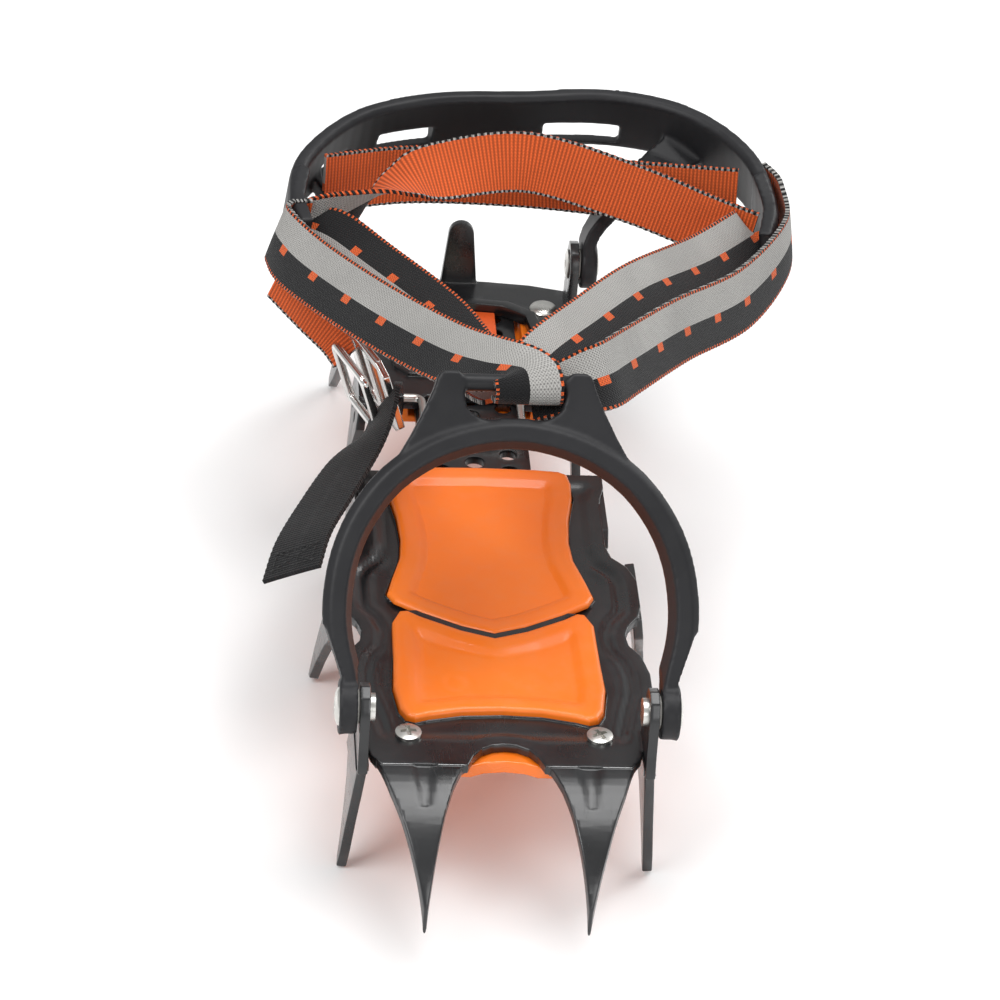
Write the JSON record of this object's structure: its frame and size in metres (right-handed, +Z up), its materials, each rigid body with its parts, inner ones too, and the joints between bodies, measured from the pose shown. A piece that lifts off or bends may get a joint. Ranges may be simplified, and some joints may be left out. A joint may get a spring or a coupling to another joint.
{
  "type": "crampon",
  "caption": "Strap-on twelve-point steel crampon with orange anti-balling plates, hinged toe and heel harnesses, webbing and a length-adjusting bar.",
  "frame": {"origin": "on the top face of the front plate, midway between its two pads, under the ball of the foot; the seat bead there stands 1.2 mm proud", "axes": "+Z up out of the boot seat, +Y towards the heel, so the front claws point to -Y; +X is to the right when looking from the claws to the heel"},
  "size_m": [0.1766, 0.3233, 0.1403],
  "materials": {
    "black_steel": "gloss",
    "orange_plastic": "gloss",
    "black_plastic": "satin",
    "zinc": "satin",
    "brass": "satin",
    "nylon": "matte",
    "pale_zinc": "matte",
    "webbing": "woven",
    "webbing_orange": "woven",
    "webbing_black": "woven"
  },
  "bodies": {
    "front_frame": {"front_plate": "black_steel", "front_antiball_plate": "orange_plastic", "toe_pad": "orange_plastic", "ball_pad": "orange_plastic", "bar_cover": "orange_plastic", "front_screws": "zinc", "screw_inserts": "brass", "toe_rivets": "zinc", "toe_washers": "nylon"},
    "toe_harness": {"toe_harness": "black_plastic", "strap_left_outer": "webbing", "strap_left_inner": "webbing", "strap_right_inner": "webbing", "strap_right_outer": "webbing"},
    "bar": {"adjust_bar": "black_steel"},
    "heel_frame": {"heel_plate": "black_steel", "heel_antiball_plate": "orange_plastic", "lock_plate": "pale_zinc", "heel_plate_rivets": "zinc", "heel_eyelets": "zinc", "heel_washers": "nylon", "strap_tail": "webbing_black", "buckle_frame": "zinc"},
    "lock_wire": {"lock_wire": "zinc"},
    "heel_harness": {"heel_harness": "black_plastic", "strap_ankle_front": "webbing_orange", "strap_ankle_rear": "webbing_orange", "strap_buckle_lead": "webbing_orange"},
    "buckle_ring": {"buckle_ring": "zinc"}
  },
  "joints": [
    {"name": "toe_harness_hinge", "type": "hinge", "parent": "front_frame", "child": "toe_harness", "pos_m": [0, -0.052, 0.0145], "axis": [1, 0, 0], "range_deg": [-35, 20], "deforming": ["strap_left_outer", "strap_left_inner", "strap_right_inner", "strap_right_outer"]},
    {"name": "bar_flex", "type": "hinge", "parent": "front_frame", "child": "bar", "pos_m": [0, 0.057, -0.004], "axis": [1, 0, 0], "range_deg": [-5, 0]},
    {"name": "length_slide", "type": "slide", "parent": "bar", "child": "heel_frame", "axis": [0, 1, 0], "range_m": [-0.018, 0.045]},
    {"name": "lock_wire_hinge", "type": "hinge", "parent": "heel_frame", "child": "lock_wire", "pos_m": [0, 0.131, 0.0014], "axis": [1, 0, 0], "range_deg": [-75, 0], "stiffness_Nm_per_rad": 0.005, "springref_deg": 17.19},
    {"name": "heel_harness_hinge", "type": "hinge", "parent": "heel_frame", "child": "heel_harness", "pos_m": [0, 0.188, 0.019], "axis": [1, 0, 0], "range_deg": [-20, 30], "deforming": ["strap_buckle_lead"]},
    {"name": "buckle_ring_swing", "type": "hinge", "parent": "heel_frame", "child": "buckle_ring", "pos_m": [-0.04316, 0.1207, 0.0183], "axis": [0.2865, 0.1158, -0.9511], "range_deg": [0, 30]}
  ]
}
